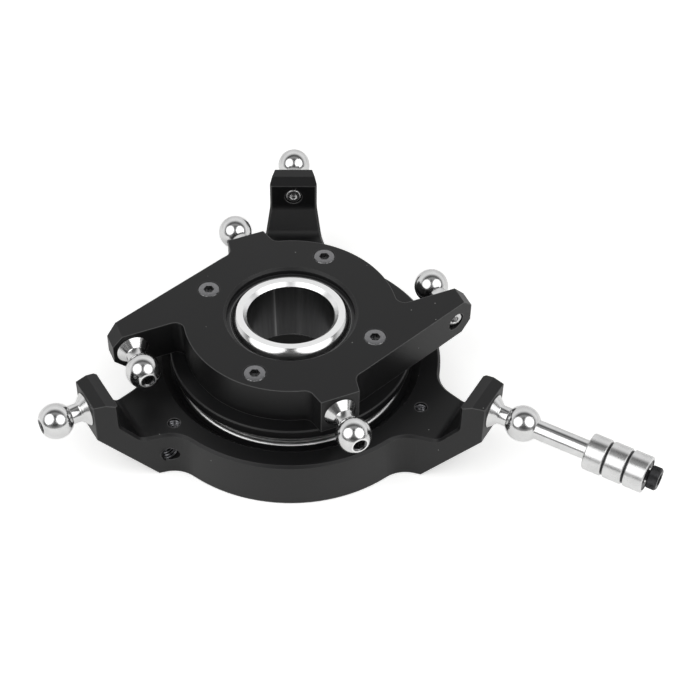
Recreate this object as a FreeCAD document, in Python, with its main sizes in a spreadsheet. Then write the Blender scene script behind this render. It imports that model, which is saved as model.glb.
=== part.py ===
import FreeCAD, Part
import math
import os

import Sketcher
from FreeCAD import Placement, Rotation, Vector

# Swashplate of a radio-controlled helicopter with a 12 mm mast. Millimetres, +Z up along the mast.
# The origin is the centre of the spherical centre ball, the point that the whole plate tilts about.
# The lower ring doesn't turn: the servos push its three linkage balls, at 90, 210 and 330 degrees.
# The upper plate turns with the rotor on the main bearing and carries the four rotor linkage balls.

SIZES = {
    # centre ball and the acetal liners it tilts in
    "mast_radius": 6.0, "uniball_radius": 9.0, "uniball_half": 5.0, "uniball_chamfer": 0.35,
    "uniball_lean": -3.8, "seat_gap": 0.06, "liner_radius": 10.2, "liner_top": 3.9,
    "liner_base": -2.8, "liner_gap": 0.02,
    # upper plate
    "plate_spin": 23.1, "plate_base": -0.6, "plate_thickness": 5.6, "plate_radius": 14.6,
    "opening_radius": 8.76, "opening_chamfer": 0.35, "block_end": 16.9, "block_half": 2.7,
    "block_root": 3.5, "arm_end": 24.0, "arm_back": 4.3, "arm_slope": 20.0, "tip_chamfer": 1.45,
    "corner_fillet": 1.3, "edge_break": 0.15, "screw_circle": 12.2, "screw_head": 1.5,
    "screw_head_gap": 0.08, "screw_shank": 0.8, "screw_length": 6.6, "screw_socket": 1.3,
    "screw_socket_depth": 0.55,
    # hub that the plate is screwed to
    "hub_flange_radius": 16.65, "hub_flange": 1.4, "hub_shoulder_radius": 11.3, "hub_bore": 8.6,
    # main bearing, 20 x 32 x 6
    "bearing_inner": 10.0, "bearing_outer": 16.0, "bearing_width": 6.0, "bearing_base": -10.1,
    "race_wall": 1.45, "race_chamfer": 0.3, "bearing_ball": 1.75, "groove_gap": 0.08,
    "shield_inset": 0.35, "shield_thickness": 0.25, "shield_gap": 0.12, "cage_wall": 0.45,
    "cage_half": 2.2, "bearing_fit": 0.02,
    # lower ring and its three arms
    "ring_base": -10.3, "ring_thickness": 7.3, "ring_radius": 20.7, "ring_edge": 0.35,
    "mouth_radius": 18.0, "ledge_radius": 16.85, "ledge_depth": 1.1, "ring_arm_root": 6.45,
    "ring_arm_neck": 3.56, "ring_arm_tip": 2.76, "lug_inner": 27.4, "lug_outer": 30.55,
    "lug_height": 15.1, "lug_shoulder": 14.45, "lug_ramp": 1.5, "heel_start": 23.1,
    "heel_height": 9.05, "foot_start": 24.8, "foot_height": 10.6, "ring_fillet": 4.2,
    "foot_fillet": 1.4, "bolt_circle": 20.2, "bolt_radius": 0.85, "bolt_depth": 2.6,
    "side_hole_radius": 1.15, "side_hole_reach": 21.5, "side_hole_height": 3.5, "side_hole_end": 1.0,
    # linkage balls
    "ball_plane": 2.2, "ball_radius": 2.375, "ball_reach": 4.3, "stud_thread": 1.25,
    "stud_length": 2.9, "stud_flange": 2.25, "stud_neck": 1.28, "stud_cone": 1.1,
    "stud_rim": 0.15, "stud_pole": 1.12, "stud_socket": 1.5, "socket_depth": 1.4,
    "plate_ball_reach": 21.25, "stud_gap": 0.02,
    # guide pin that runs in the anti-rotation slot, with its rollers
    "pin_radius": 1.3, "pin_shoulder": 13.15, "journal_radius": 1.0, "roller_radius": 2.45,
    "roller_width": 2.5, "roller_pitch": 2.75, "roller_wall": 0.5, "roller_inner_wall": 0.4,
    "roller_rim": 0.2, "cap_radius": 1.5, "cap_height": 1.6, "cap_socket": 1.5,
    "cap_thread": 0.75, "cap_thread_length": 3.5,
}
ARM_ANGLES = {"right": 330, "back": 90, "left": 210}
BOLT_ANGLES = {"right": 330.6, "back": 95.4, "left": 220.1}
PLATE_BALLS = {"long_front": (180, 1), "short_front": (270, 0), "long_back": (0, 1), "short_back": (90, 0)}
BEARING_BALLS = 11
ROLLERS = 3
HEX = 6

doc = FreeCAD.newDocument("swashplate")
sheet = doc.addObject("Spreadsheet::Sheet", "Sizes")
parts = []


class Size:
    """A number that remembers the spreadsheet expression which drives it."""

    def __init__(self, value, text=None):
        self.value = float(value)
        self.text = text or "(%r)" % float(value)

    def join(self, other, sign):
        other = other if isinstance(other, Size) else Size(other)
        value = {"+": self.value + other.value, "-": self.value - other.value, "*": self.value * other.value}
        if sign == "/":
            return Size(self.value / other.value, "(%s / %s)" % (self.text, other.text))
        return Size(value[sign], "(%s %s %s)" % (self.text, sign, other.text))

    def __add__(self, other):
        return self.join(other, "+")

    def __sub__(self, other):
        return self.join(other, "-")

    def __mul__(self, other):
        return self.join(other, "*")

    def __truediv__(self, other):
        return self.join(other, "/")

    def __neg__(self):
        return self.join(-1, "*")

    def root(self):
        return Size(math.sqrt(self.value), "sqrt(%s)" % self.text)

    def cos(self):
        return Size(math.cos(math.radians(self.value)), "cos(%s * 1 deg)" % self.text)

    def sin(self):
        return Size(math.sin(math.radians(self.value)), "sin(%s * 1 deg)" % self.text)


def size(alias):
    return Size(SIZES[alias], "Sizes." + alias)


def fill_sheet():
    for row, (alias, value) in enumerate(SIZES.items(), start=1):
        sheet.set("A%d" % row, alias.replace("_", " "))
        sheet.set("B%d" % row, "%g" % value)
        sheet.setAlias("B%d" % row, alias)
    doc.recompute()


# ---------------------------------------------------------------- sketches

def new_body(name):
    body = doc.addObject("PartDesign::Body", name)
    body.Label = name
    parts.append(body)
    return body


def new_sketch(body, plane, lift=None):
    """A sketch on one of the body's origin planes, lifted off it by a Size if given."""
    sketch = body.newObject("Sketcher::SketchObject", body.Name + "_sketch")
    support = [f for f in body.Origin.OriginFeatures if f.Role == plane + "_Plane"][0]
    sketch.AttachmentSupport = [(support, "")]
    sketch.MapMode = "FlatFace"
    if lift is not None:
        sketch.setExpression("AttachmentOffset.Base.z", lift.text)
    return sketch


def bind(sketch, kind, args, length):
    """Add a dimension; a Size is bound to the sheet, and a signed zero becomes a point on an axis."""
    index = sketch.addConstraint(Sketcher.Constraint(kind, *args, length.value))
    sketch.setExpression("Constraints[%d]" % index, length.text)


def pin_point(sketch, geometry, end, x, y):
    """Hold a point at x, y from the sketch's origin."""
    x_axis, y_axis, origin = (-1, -2, (-1, 1))
    for kind, length, axis in (("DistanceX", x, y_axis), ("DistanceY", y, x_axis)):
        if length.value == 0:
            sketch.addConstraint(Sketcher.Constraint("PointOnObject", geometry, end, axis))
        else:
            bind(sketch, kind, (*origin, geometry, end), length)


def circle(sketch, radius, x=Size(0), y=Size(0)):
    centre = Vector(x.value, y.value, 0)
    index = sketch.addGeometry(Part.Circle(centre, Vector(0, 0, 1), radius.value))
    bind(sketch, "Radius", (index,), radius)
    pin_point(sketch, index, 3, x, y)
    return index


def outline(sketch, points):
    """A closed outline. A point is (x, y), or (x, y, radius, centre_x, centre_y) for an arc that ends there."""
    fixed = [tuple(v if isinstance(v, Size) else Size(v) for v in p) for p in points]
    starts = fixed[-1:] + fixed[:-1]
    first = None
    for start, end in zip(starts, fixed):
        a = Vector(start[0].value, start[1].value, 0)
        b = Vector(end[0].value, end[1].value, 0)
        if len(end) == 2:
            index = sketch.addGeometry(Part.LineSegment(a, b))
            tail, head = 1, 2
        else:
            index, tail, head = add_arc(sketch, a, b, end)
        if first is None:
            first = (index, tail)
        else:
            sketch.addConstraint(Sketcher.Constraint("Coincident", last[0], last[1], index, tail))
        pin_point(sketch, index, head, end[0], end[1])
        last = (index, head)
    sketch.addConstraint(Sketcher.Constraint("Coincident", last[0], last[1], first[0], first[1]))


def add_arc(sketch, a, b, end):
    """The shorter arc from a to b about a centre; returns its index and which ends are tail and head."""
    radius = end[2]
    centre = Vector(end[3].value, end[4].value, 0)
    start = math.atan2(a.y - centre.y, a.x - centre.x)
    stop = math.atan2(b.y - centre.y, b.x - centre.x)
    forward = (stop - start) % (2 * math.pi) < math.pi
    low, high = (start, stop) if forward else (stop, start)
    full = Part.Circle(centre, Vector(0, 0, 1), radius.value)
    index = sketch.addGeometry(Part.ArcOfCircle(full, low, high))
    bind(sketch, "Radius", (index,), radius)
    return (index, 1, 2) if forward else (index, 2, 1)


def hexagon(sketch, across):
    """A hexagon about the sketch's origin, by its width across flats."""
    corner = across / Size(30).cos() / 2
    outline(sketch, [(corner * Size(60 * k).cos(), corner * Size(60 * k).sin()) for k in range(HEX)])


# ---------------------------------------------------------------- features

def add(body, kind, **settings):
    """Add a feature; a Size among the settings is bound to the sheet. A cut has to remove something."""
    before = body.Shape.Volume if body.Tip else 0.0
    feature = body.newObject("PartDesign::" + kind, body.Name + "_" + kind)
    for key, value in settings.items():
        if isinstance(value, Size):
            feature.setExpression(key, value.text)
        else:
            setattr(feature, key, value)
    body.Tip = feature
    doc.recompute()
    if kind in ("Pocket", "Groove") and body.Shape.Volume > before - 1e-6:
        raise RuntimeError("%s cuts nothing" % feature.Name)
    return feature


def pad(body, sketch, length, **settings):
    return add(body, "Pad", Profile=sketch, Length=length, **settings)


def pocket(body, sketch, length=None, **settings):
    if length is None:
        return add(body, "Pocket", Profile=sketch, Type=1, **settings)
    return add(body, "Pocket", Profile=sketch, Length=length, **settings)


def revolve(body, points):
    """Turn a half section, given as (radius, height), about the body's own Z axis."""
    sketch = new_sketch(body, "XZ")
    outline(sketch, points)
    return add(body, "Revolution", Profile=sketch, ReferenceAxis=(sketch, ["V_Axis"]), Angle=360.0)


def groove(body, points):
    sketch = new_sketch(body, "XZ")
    outline(sketch, points)
    return add(body, "Groove", Profile=sketch, ReferenceAxis=(sketch, ["V_Axis"]), Angle=360.0)


def around(body, originals, count):
    axis = [f for f in body.Origin.OriginFeatures if f.Role == "Z_Axis"][0]
    return add(body, "PolarPattern", Originals=originals, Axis=(axis, [""]), Angle=360.0, Occurrences=count)


def round_edges(body, kind, wanted, **settings):
    """Fillet or chamfer the edges of the tip whose middle the test accepts."""
    tip = body.Tip
    names = []
    for index, edge in enumerate(tip.Shape.Edges, start=1):
        middle = edge.valueAt((edge.FirstParameter + edge.LastParameter) / 2)
        if wanted(edge, middle):
            names.append("Edge%d" % index)
    if not names:
        raise RuntimeError("no edge to round on " + body.Name)
    return add(body, kind, Base=(tip, names), **settings)


def is_upright(edge):
    return edge.Curve.TypeId == "Part::GeomLine" and abs(edge.tangentAt(edge.FirstParameter).z) > 0.99


def polar(point):
    return math.hypot(point.x, point.y)


def lift_to(body, height):
    body.setExpression("Placement.Base.z", height.text)


# ---------------------------------------------------------------- lower ring

def lower_ring():
    """Ring with three arms, each cranked up at the end to a lug that holds a linkage ball."""
    body = new_body("lower_ring")
    lift_to(body, size("ring_base"))
    top = size("ring_thickness")
    disc = new_sketch(body, "XY")
    circle(disc, size("ring_radius"))
    pad(body, disc, top)
    features = [ring_arm(body), ring_arm_top(body), ring_arm_heel(body)]
    around(body, features, len(ARM_ANGLES))
    radius = SIZES["ring_radius"]
    round_edges(
        body, "Fillet", Radius=size("ring_fillet"),
        wanted=lambda edge, middle: is_upright(edge) and abs(polar(middle) - radius) < 0.05,
    )
    foot = (SIZES["foot_start"], SIZES["ring_thickness"])
    knee = (SIZES["lug_inner"], SIZES["foot_height"])
    round_edges(
        body, "Fillet", Radius=size("foot_fillet"),
        wanted=lambda edge, middle: edge.Length < 9
        and (near(middle, *foot, 0.06) or near(middle, *knee, 0.06)),
    )
    round_edges(
        body, "Chamfer", Size=size("ring_edge"),
        wanted=lambda edge, middle: abs(middle.z - foot[1]) < 0.01 and not near(middle, *foot, 3),
    )
    seat = new_sketch(body, "XY")
    circle(seat, size("bearing_outer") + size("bearing_fit"))
    pocket(body, seat, Reversed=True)
    seat_chamfer(body)
    stud_hole = new_sketch(body, "XZ")
    circle(stud_hole, size("stud_thread") + size("stud_gap"), Size(0), size("ball_plane") - size("ring_base"))
    around(body, [pocket(body, stud_hole, Reversed=False)], len(ARM_ANGLES))
    around(body, [side_hole(body)], len(ARM_ANGLES))
    for angle in BOLT_ANGLES.values():
        bolt_hole(body, Size(angle))


def near(point, reach, height, gap):
    """Whether the point lies on an edge across one of the arms, at this reach and height."""
    if abs(point.z - height) > gap:
        return False
    return any(abs(along_arm(point, angle) - reach) < gap for angle in ARM_ANGLES.values())


def along_arm(point, angle):
    return point.x * math.cos(math.radians(angle)) + point.y * math.sin(math.radians(angle))


def ring_arm(body):
    """The back arm in plan: a taper from the ring to the lug, at the full height of the lug."""
    sketch = new_sketch(body, "XY")
    root, neck, tip = size("ring_arm_root"), size("ring_arm_neck"), size("ring_arm_tip")
    start = size("bearing_outer")
    outline(sketch, [
        (root, start), (neck, size("lug_inner")), (tip, size("lug_outer")),
        (-tip, size("lug_outer")), (-neck, size("lug_inner")), (-root, start),
    ])
    return pad(body, sketch, size("lug_height"))


def ring_arm_top(body):
    """Cuts the arm down to the ring's top, up the ramp to the lug, and slopes the lug's inner edge."""
    sketch = new_sketch(body, "YZ")
    start, clear = size("bearing_outer") - 1, size("lug_height") + 1
    shoulder = size("lug_inner") + size("lug_ramp")
    outline(sketch, [
        (start, size("ring_thickness")), (size("foot_start"), size("ring_thickness")),
        (size("lug_inner"), size("foot_height")), (size("lug_inner"), size("lug_shoulder")),
        (shoulder, size("lug_height")), (shoulder, clear), (start, clear),
    ])
    return pocket(body, sketch, size("ring_arm_root") * 2 + 1, Midplane=True)


def ring_arm_heel(body):
    """Slopes the arm's underside up to the lug, parallel to the ramp above it."""
    sketch = new_sketch(body, "YZ")
    outline(sketch, [
        (size("heel_start"), Size(0)), (size("lug_outer"), size("heel_height")),
        (size("lug_outer") + 1, size("heel_height")), (size("lug_outer") + 1, Size(-1)),
        (size("heel_start"), Size(-1)),
    ])
    return pocket(body, sketch, size("ring_arm_root") * 2 + 1, Midplane=True)


def seat_chamfer(body):
    """A wide bevel round the mouth of the bearing seat, down to a ledge level with the bearing."""
    inner, top = size("bearing_outer") - 1, size("ring_thickness")
    ledge = top - size("ledge_depth")
    groove(body, [(size("mouth_radius"), top), (inner, top), (inner, ledge), (size("ledge_radius"), ledge)])


def bolt_hole(body, angle):
    """Blind tapped hole in the top of an arm, at this angle round the ring."""
    sketch = new_sketch(body, "XY", size("ring_thickness"))
    circle(sketch, size("bolt_radius"), size("bolt_circle") * angle.cos(), size("bolt_circle") * angle.sin())
    return pocket(body, sketch, size("bolt_depth"))


def side_hole(body):
    """Tapped cross hole from the side of the arm towards its middle."""
    clear = size("ring_arm_root") + 2
    sketch = new_sketch(body, "YZ", -clear)
    circle(sketch, size("side_hole_radius"), size("side_hole_reach"), size("side_hole_height"))
    return pocket(body, sketch, clear - size("side_hole_end"), Reversed=True)


# ---------------------------------------------------------------- main bearing

def race(name, seat, bore, groove_centre):
    """A bearing ring between two radii, with a ball groove in the face that looks at the balls."""
    body = new_body(name)
    lift_to(body, size("bearing_base") + size("bearing_width") / 2)
    half = size("bearing_width") / 2
    chamfer = size("race_chamfer")
    inward = Size(1) if seat.value > bore.value else Size(-1)
    groove_radius = size("bearing_ball") + size("groove_gap")
    offset = bore - groove_centre
    rise = (groove_radius * groove_radius - offset * offset).root()
    revolve(body, [
        (seat, -half + chamfer), (seat, half - chamfer), (seat - inward * chamfer, half), (bore, half),
        (bore, rise), (bore, -rise, groove_radius, groove_centre, Size(0)), (bore, -half),
        (seat - inward * chamfer, -half),
    ])


def pitch_radius():
    return (size("bearing_inner") + size("bearing_outer")) / 2


def main_bearing():
    wall = size("race_wall")
    race("main_bearing_outer_race", size("bearing_outer"), size("bearing_outer") - wall, pitch_radius())
    race("main_bearing_inner_race", size("bearing_inner"), size("bearing_inner") + wall, pitch_radius())
    for name, side in (("main_bearing_shield_upper", 1), ("main_bearing_shield_lower", -1)):
        bearing_shield(name, side)
    bearing_balls()
    bearing_cage()


def bearing_shield(name, side):
    """Thin pressed ring that closes the gap between the races, held by the outer one."""
    body = new_body(name)
    middle = size("bearing_base") + size("bearing_width") / 2
    reach = size("bearing_width") / 2 - size("shield_inset") - size("shield_thickness") / 2
    lift_to(body, middle + reach * side)
    half = size("shield_thickness") / 2
    inner = size("bearing_inner") + size("race_wall") + size("shield_gap")
    outer = size("bearing_outer") - size("race_wall")
    revolve(body, [(inner, -half), (outer, -half), (outer, half), (inner, half)])


def bearing_balls():
    """One ball turned about the X axis at the pitch radius, and repeated round the bearing."""
    body = new_body("main_bearing_balls")
    body.AllowCompound = True
    lift_to(body, size("bearing_base") + size("bearing_width") / 2)
    sketch = new_sketch(body, "XY")
    radius, pitch = size("bearing_ball"), pitch_radius()
    top = (pitch, radius, radius, pitch, Size(0))
    outline(sketch, [(pitch - radius, Size(0)), top, (pitch + radius, Size(0), radius, pitch, Size(0))])
    ball = add(body, "Revolution", Profile=sketch, ReferenceAxis=(sketch, ["H_Axis"]), Angle=360.0)
    around(body, [ball], BEARING_BALLS)


def bearing_cage():
    """Ribbon ring with a round pocket for each ball."""
    body = new_body("main_bearing_cage")
    lift_to(body, size("bearing_base") + size("bearing_width") / 2)
    inner, outer = pitch_radius() - size("cage_wall"), pitch_radius() + size("cage_wall")
    half = size("cage_half")
    revolve(body, [(inner, -half), (outer, -half), (outer, half), (inner, half)])
    sketch = new_sketch(body, "YZ")
    circle(sketch, size("bearing_ball") + size("groove_gap"))
    hole = pocket(body, sketch, size("bearing_outer"), Reversed=True)
    around(body, [hole], BEARING_BALLS)


# ---------------------------------------------------------------- upper plate and hub

def upper_plate():
    """Round plate with two short blocks and two long swept arms, the same after half a turn."""
    body = new_body("upper_plate")
    lift_to(body, size("plate_base"))
    turn_about_mast(body)
    thick = size("plate_thickness")
    disc = new_sketch(body, "XY")
    circle(disc, size("plate_radius"))
    pad(body, disc, thick)
    around(body, [plate_block(body), plate_arm(body)], 2)
    end = SIZES["arm_end"]
    round_edges(
        body, "Chamfer", Size=size("tip_chamfer"),
        wanted=lambda edge, middle: abs(abs(middle.x) - end) < 0.01 and not is_upright(edge),
    )
    plate_fillets(body)
    opening = new_sketch(body, "XY")
    circle(opening, size("opening_radius"))
    pocket(body, opening, Reversed=True)
    counterbore = new_sketch(body, "XY")
    circle(counterbore, size("liner_radius") + size("liner_gap"))
    pocket(body, counterbore, size("liner_top") - size("plate_base"), Reversed=True)
    opening_radius = SIZES["opening_radius"]
    round_edges(
        body, "Chamfer", Size=size("opening_chamfer"),
        wanted=lambda edge, middle: abs(middle.z - SIZES["plate_thickness"]) < 0.01
        and abs(edge.BoundBox.XLength / 2 - opening_radius) < 0.01,
    )
    plate_screw_holes(body)
    plate_stud_holes(body)


def turn_about_mast(body):
    body.Placement = Placement(Vector(0, 0, 0), Rotation(Vector(0, 0, 1), SIZES["plate_spin"]))
    body.setExpression("Placement.Rotation.Angle", size("plate_spin").text)


def plate_block(body):
    """Short block at the front that carries a ball, a little wider at its root."""
    sketch = new_sketch(body, "XY")
    end, half, root = size("block_end"), size("block_half"), size("block_root")
    start = size("plate_radius") * 0.9
    outline(sketch, [(-root, -start), (-half, -end), (half, -end), (root, -start)])
    return pad(body, sketch, size("plate_thickness"))


def plate_arm(body):
    """Long arm: its front edge leaves the disc as a tangent, its back edge runs straight out."""
    sketch = new_sketch(body, "XY")
    slope, radius = size("arm_slope"), size("plate_radius")
    tangent_x, tangent_y = radius * slope.sin(), -radius * slope.cos()
    end = size("arm_end")
    front = tangent_y + (end - tangent_x) * slope.sin() / slope.cos()
    start = size("liner_radius") + 1
    outline(sketch, [
        (tangent_x, tangent_y), (end, front), (end, -size("arm_back")), (start, -size("arm_back")),
        (tangent_x, -size("arm_back")),
    ])
    return pad(body, sketch, size("plate_thickness"))


def plate_fillets(body):
    """Rounds the inner corners where the blocks and the arms' back edges meet the disc."""
    radius = SIZES["plate_radius"]
    round_edges(
        body, "Fillet", Radius=size("corner_fillet"),
        wanted=lambda edge, middle: is_upright(edge) and abs(polar(middle) - radius) < 0.35
        and not is_smooth_joint(middle),
    )


def is_smooth_joint(point):
    """Whether the point is where an arm's front edge leaves the disc as a tangent."""
    angle = math.degrees(math.atan2(point.y, point.x)) % 180
    return abs(angle - (90 + SIZES["arm_slope"])) < 1


def plate_screw_holes(body):
    """Countersunk holes for the four screws that clamp the plate to the hub."""
    sketch = new_sketch(body, "XY", size("plate_thickness"))
    reach = size("screw_circle") * Size(45).cos()
    for x, y in ((reach, reach), (-reach, reach), (-reach, -reach), (reach, -reach)):
        circle(sketch, size("screw_shank") + 0.1, x, y)
    doc.recompute()
    hole = add(body, "Hole", Profile=sketch)
    hole.DepthType = "ThroughAll"
    hole.setExpression("Diameter", ((size("screw_shank") + 0.1) * 2).text)
    hole.HoleCutType = "Countersink"
    hole.HoleCutCountersinkAngle = 90.0
    hole.setExpression("HoleCutDiameter", ((size("screw_head") + size("screw_head_gap")) * 2).text)
    doc.recompute()


def plate_stud_holes(body):
    """Cross holes through the arms, and blind ones in the ends of the blocks."""
    height = size("plate_thickness") / 2
    radius = size("stud_thread") + size("stud_gap")
    arm_holes = new_sketch(body, "XZ")
    circle(arm_holes, radius, size("plate_ball_reach"), height)
    circle(arm_holes, radius, -size("plate_ball_reach"), height)
    pocket(body, arm_holes, Midplane=True)
    block_hole = new_sketch(body, "XZ", size("block_end"))
    circle(block_hole, radius, Size(0), height)
    around(body, [pocket(body, block_hole, size("stud_length") + 0.3)], 2)


def hub():
    """Flanged sleeve: clamps the lower liner under the plate and turns in the main bearing."""
    body = new_body("hub")
    turn_about_mast(body)
    top = size("plate_base")
    flange_base = top - size("hub_flange")
    bearing_top = size("bearing_base") + size("bearing_width")
    liner_seat = size("liner_radius") + size("liner_gap")
    sleeve = size("bearing_inner") - size("bearing_fit")
    edge = size("edge_break")
    revolve(body, [
        (liner_seat, top), (size("hub_flange_radius") - edge, top), (size("hub_flange_radius"), top - edge),
        (size("hub_flange_radius"), flange_base), (size("hub_shoulder_radius"), flange_base),
        (size("hub_shoulder_radius"), bearing_top), (sleeve, bearing_top), (sleeve, size("bearing_base")),
        (size("hub_bore"), size("bearing_base")), (size("hub_bore"), size("liner_base")),
        (liner_seat, size("liner_base")),
    ])
    tapped = new_sketch(body, "XY", size("plate_base"))
    reach = size("screw_circle") * Size(45).cos()
    circle(tapped, size("screw_shank") + size("stud_gap"), reach, reach)
    around(body, [pocket(body, tapped, size("hub_flange") + 1)], 4)


def plate_screw(index):
    """Countersunk screw with a hexagon socket."""
    body = new_body("plate_screw_%d" % index)
    head, shank = size("screw_head"), size("screw_shank")
    revolve(body, [
        (Size(0), -size("screw_length")), (shank, -size("screw_length")), (shank, -(head - shank)),
        (head, Size(0)), (Size(0), Size(0)),
    ])
    socket = new_sketch(body, "XY")
    hexagon(socket, size("screw_socket"))
    pocket(body, socket, size("screw_socket_depth"))
    angle = size("plate_spin") + 45 + 90 * index
    place_along(body, angle, size("screw_circle"), size("plate_base") + size("plate_thickness"), None)


# ---------------------------------------------------------------- centre ball

def seat_radius():
    return size("uniball_radius") + size("seat_gap")


def liner(name, low, high):
    """Acetal ring with a spherical seat that holds one half of the centre ball."""
    body = new_body(name)
    seat = seat_radius()
    outer = size("liner_radius")
    low_reach = (seat * seat - low * low).root()
    high_reach = (seat * seat - high * high).root()
    revolve(body, [
        (outer, low), (outer, high), (high_reach, high), (low_reach, low, seat, Size(0), Size(0)),
    ])


def uniball():
    """Steel ball with flat ends and the mast bore; it leans in its liners."""
    body = new_body("uniball")
    body.Placement = Placement(Vector(0, 0, 0), Rotation(Vector(1, 0, 0), SIZES["uniball_lean"]))
    body.setExpression("Placement.Rotation.Angle", size("uniball_lean").text)
    ball, bore, half = size("uniball_radius"), size("mast_radius"), size("uniball_half")
    chamfer = size("uniball_chamfer")
    flat = (ball * ball - half * half).root()
    revolve(body, [
        (bore, -half + chamfer), (bore + chamfer, -half), (flat, -half), (flat, half, ball, Size(0), Size(0)),
        (bore + chamfer, half), (bore, half - chamfer),
    ])


# ---------------------------------------------------------------- linkage balls

def stud_section(tail, tail_radius):
    """Half section of a ball stud up to its neck: thread, flange and cone. Height 0 is the flange's face."""
    return [
        (Size(0), -tail), (tail_radius - 0.15, -tail), (tail_radius, -tail + 0.15), (tail_radius, Size(0)),
        (size("stud_flange"), Size(0)), (size("stud_flange"), size("stud_rim")),
        (size("stud_neck"), size("stud_cone")),
    ]


def ball_start():
    """Height at which the neck enters the ball."""
    ball, neck = size("ball_radius"), size("stud_neck")
    return size("ball_reach") - (ball * ball - neck * neck).root()


def ball_stud(name):
    """Screw-in linkage ball with a hexagon socket in its pole."""
    body = new_body(name)
    ball, reach, flat = size("ball_radius"), size("ball_reach"), size("stud_pole")
    pole = reach + (ball * ball - flat * flat).root()
    revolve(body, stud_section(size("stud_length"), size("stud_thread")) + [
        (size("stud_neck"), ball_start()), (ball, reach, ball, Size(0), reach),
        (flat, pole, ball, Size(0), reach), (Size(0), pole),
    ])
    socket = new_sketch(body, "XY", pole)
    hexagon(socket, size("stud_socket"))
    pocket(body, socket, size("socket_depth"))
    return body


def place_along(body, angle, reach, height, tilt):
    """Put a body at a reach and height on a radius; tilt is the compass angle its own Z then points to."""
    turn = Rotation()
    if tilt is not None:
        turn = Rotation(Vector(0, 0, 1), tilt) * Rotation(Vector(0, 1, 0), 90)
    body.Placement = Placement(Vector(0, 0, 0), turn)
    body.setExpression("Placement.Base.x", (reach * angle.cos()).text)
    body.setExpression("Placement.Base.y", (reach * angle.sin()).text)
    body.setExpression("Placement.Base.z", height.text)


def ring_studs():
    for side in ("left", "back"):
        angle = ARM_ANGLES[side]
        place_along(ball_stud("ball_stud_ring_" + side), Size(angle), size("lug_outer"), size("ball_plane"), angle)


def plate_studs():
    """The long arms hold their balls sideways, half a turn apart; the blocks hold theirs straight out."""
    for name, (bearing, sideways) in PLATE_BALLS.items():
        body = ball_stud("ball_stud_plate_" + name)
        if not sideways:
            spin = size("plate_spin") + bearing
            place_along(body, spin, size("block_end"), size("ball_plane"), SIZES["plate_spin"] + bearing)
            continue
        across = -size("arm_back")
        along = size("plate_ball_reach")
        place_along(body, size("plate_spin") + bearing, along, size("ball_plane"),
                    SIZES["plate_spin"] + bearing + 90)
        spin = size("plate_spin") + bearing
        body.setExpression("Placement.Base.x", (along * spin.cos() - across * spin.sin()).text)
        body.setExpression("Placement.Base.y", (along * spin.sin() + across * spin.cos()).text)


# ---------------------------------------------------------------- guide pin

def pin_end():
    """Height of the journal's end, a hair short of the last roller's face."""
    return size("pin_shoulder") + size("roller_pitch") * ROLLERS - 0.3


def place_on_pin(body, height=None):
    """Put a body on the pin's axis, a height above the right lug's outer face."""
    reach = size("lug_outer") if height is None else size("lug_outer") + height
    place_along(body, Size(ARM_ANGLES["right"]), reach, size("ball_plane"), ARM_ANGLES["right"])


def guide_pin():
    """Ball stud drawn out to a long shaft with a thinner journal for the rollers."""
    body = new_body("guide_pin")
    ball, reach, shaft = size("ball_radius"), size("ball_reach"), size("pin_radius")
    ball_end = reach + (ball * ball - shaft * shaft).root()
    journal, thread = size("journal_radius"), size("cap_thread")
    bottom = pin_end() - size("cap_thread_length") - 0.3
    revolve(body, stud_section(size("stud_length"), size("stud_thread")) + [
        (size("stud_neck"), ball_start()), (ball, reach, ball, Size(0), reach),
        (shaft, ball_end, ball, Size(0), reach), (shaft, size("pin_shoulder")),
        (journal, size("pin_shoulder")), (journal, pin_end()), (thread, pin_end()), (thread, bottom),
        (Size(0), bottom),
    ])
    place_on_pin(body)


def roller_height(index):
    return size("pin_shoulder") + size("roller_pitch") * index


def guide_rollers():
    outer, width = size("roller_radius"), size("roller_width")
    wall, rim = size("roller_wall"), size("roller_rim")
    inner = size("journal_radius") + size("roller_inner_wall")
    edge = size("edge_break")
    for index in range(ROLLERS):
        ring = new_body("guide_roller_%d" % (index + 1))
        lip = inner + 0.08
        revolve(ring, [
            (lip, Size(0)), (outer - edge, Size(0)), (outer, edge), (outer, width - edge),
            (outer - edge, width), (lip, width), (lip, width - rim), (outer - wall, width - rim),
            (outer - wall, rim), (lip, rim),
        ])
        place_on_pin(ring, roller_height(index))
        sleeve = new_body("guide_roller_inner_%d" % (index + 1))
        bore = size("journal_radius") + size("stud_gap")
        revolve(sleeve, [(bore, Size(0)), (inner, Size(0)), (inner, width), (bore, width)])
        place_on_pin(sleeve, roller_height(index))


def guide_washers():
    """Shims that keep the rollers apart."""
    gap = size("roller_pitch") - size("roller_width")
    inner, outer = size("journal_radius") + size("stud_gap"), size("journal_radius") + size("roller_inner_wall")
    for index in range(1, ROLLERS):
        washer = new_body("guide_washer_%d" % index)
        revolve(washer, [(inner, Size(0)), (outer, Size(0)), (outer, gap), (inner, gap)])
        place_on_pin(washer, roller_height(index) - gap)


def guide_cap_screw():
    """Socket cap screw in the end of the pin, which keeps the rollers on."""
    body = new_body("guide_cap_screw")
    head, height, thread = size("cap_radius"), size("cap_height"), size("cap_thread") - 0.02
    edge = size("edge_break")
    revolve(body, [
        (Size(0), -size("cap_thread_length")), (thread, -size("cap_thread_length")), (thread, Size(0)),
        (head, Size(0)), (head, height - edge), (head - edge, height), (Size(0), height),
    ])
    socket = new_sketch(body, "XY", height)
    hexagon(socket, size("cap_socket"))
    pocket(body, socket, height / 2)
    place_on_pin(body, roller_height(ROLLERS - 1) + size("roller_width"))


# ---------------------------------------------------------------- write

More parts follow.
